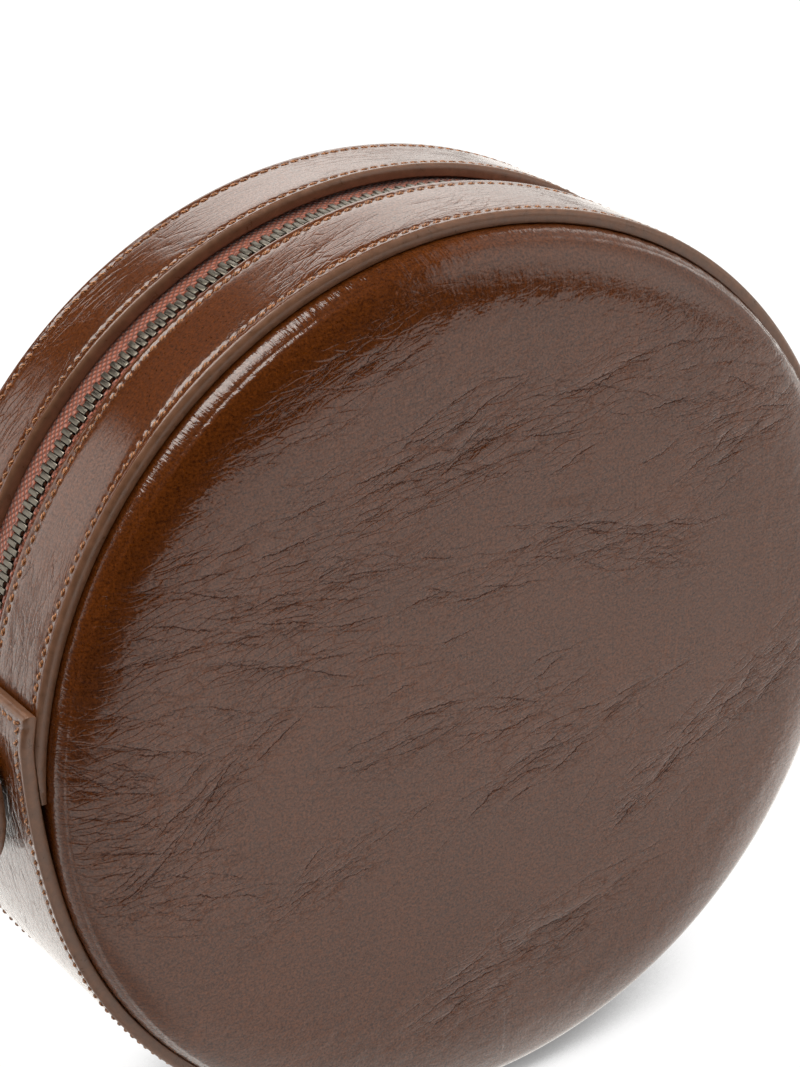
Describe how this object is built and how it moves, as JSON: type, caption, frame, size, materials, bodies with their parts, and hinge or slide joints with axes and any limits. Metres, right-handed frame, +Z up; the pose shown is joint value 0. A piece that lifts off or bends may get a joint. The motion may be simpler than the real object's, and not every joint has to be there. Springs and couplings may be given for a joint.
{
  "type": "round zip bag",
  "caption": "Upright round leather bag with padded faces, a metal zip running over the top and a wide loop strap that swings on side studs.",
  "frame": {"origin": "on the floor, at the middle of the flat underside of the drum", "axes": "+Z up; the drum's axis runs along Y, the front panel faces -Y and the strap lies towards +Y"},
  "size_m": [0.2156, 0.2634, 0.1888],
  "materials": {
    "brown_leather": "glossy crinkled leather with painted edges",
    "fibre_board": "bonded fibre board",
    "padding_foam": "soft foam sheet",
    "lining_cloth": "twill lining",
    "zip_tape": "woven tape",
    "zip_metal": "antique nickel",
    "stud_metal": "antique nickel"
  },
  "bodies": {
    "bag": {"front_panel": "brown_leather", "back_panel": "brown_leather", "front_zip_gusset": "brown_leather", "back_zip_gusset": "brown_leather", "base_gusset": "brown_leather", "front_board": "fibre_board", "back_board": "fibre_board", "base_board": "fibre_board", "front_foam": "padding_foam", "back_foam": "padding_foam", "front_lining": "lining_cloth", "back_lining": "lining_cloth", "front_zip_facing": "lining_cloth", "back_zip_facing": "lining_cloth", "base_lining": "lining_cloth", "front_zip_tape": "zip_tape", "back_zip_tape": "zip_tape", "zip_teeth_front": "zip_metal", "zip_teeth_back": "zip_metal", "zip_top_stops": "zip_metal", "zip_bottom_stop": "zip_metal", "strap_post_left": "stud_metal", "strap_post_right": "stud_metal", "strap_cap_left": "stud_metal", "strap_cap_right": "stud_metal", "strap_spacer_left": "stud_metal", "strap_spacer_right": "stud_metal", "strap_backplate_left": "stud_metal", "strap_backplate_right": "stud_metal"},
    "slider": {"zip_slider": "zip_metal", "zip_slider_crown": "zip_metal"},
    "pull": {"zip_pull": "zip_metal"},
    "strap": {"strap_face": "brown_leather", "strap_backing": "brown_leather"}
  },
  "joints": [
    {"name": "zip_travel", "type": "hinge", "parent": "bag", "child": "slider", "pos_m": [0, 0, 0.0938], "axis": [0, -1, 0], "range_deg": [0, 132], "deforming": ["zip_teeth_front", "zip_teeth_back"]},
    {"name": "pull_swing", "type": "hinge", "parent": "slider", "child": "pull", "pos_m": [0.08682, 0, 0.13431], "axis": [0, -1, 0], "range_deg": [0, 172]},
    {"name": "strap_swing", "type": "hinge", "parent": "bag", "child": "strap", "pos_m": [0, 0, 0.0938], "axis": [1, 0, 0], "range_deg": [0, 218.1]}
  ]
}
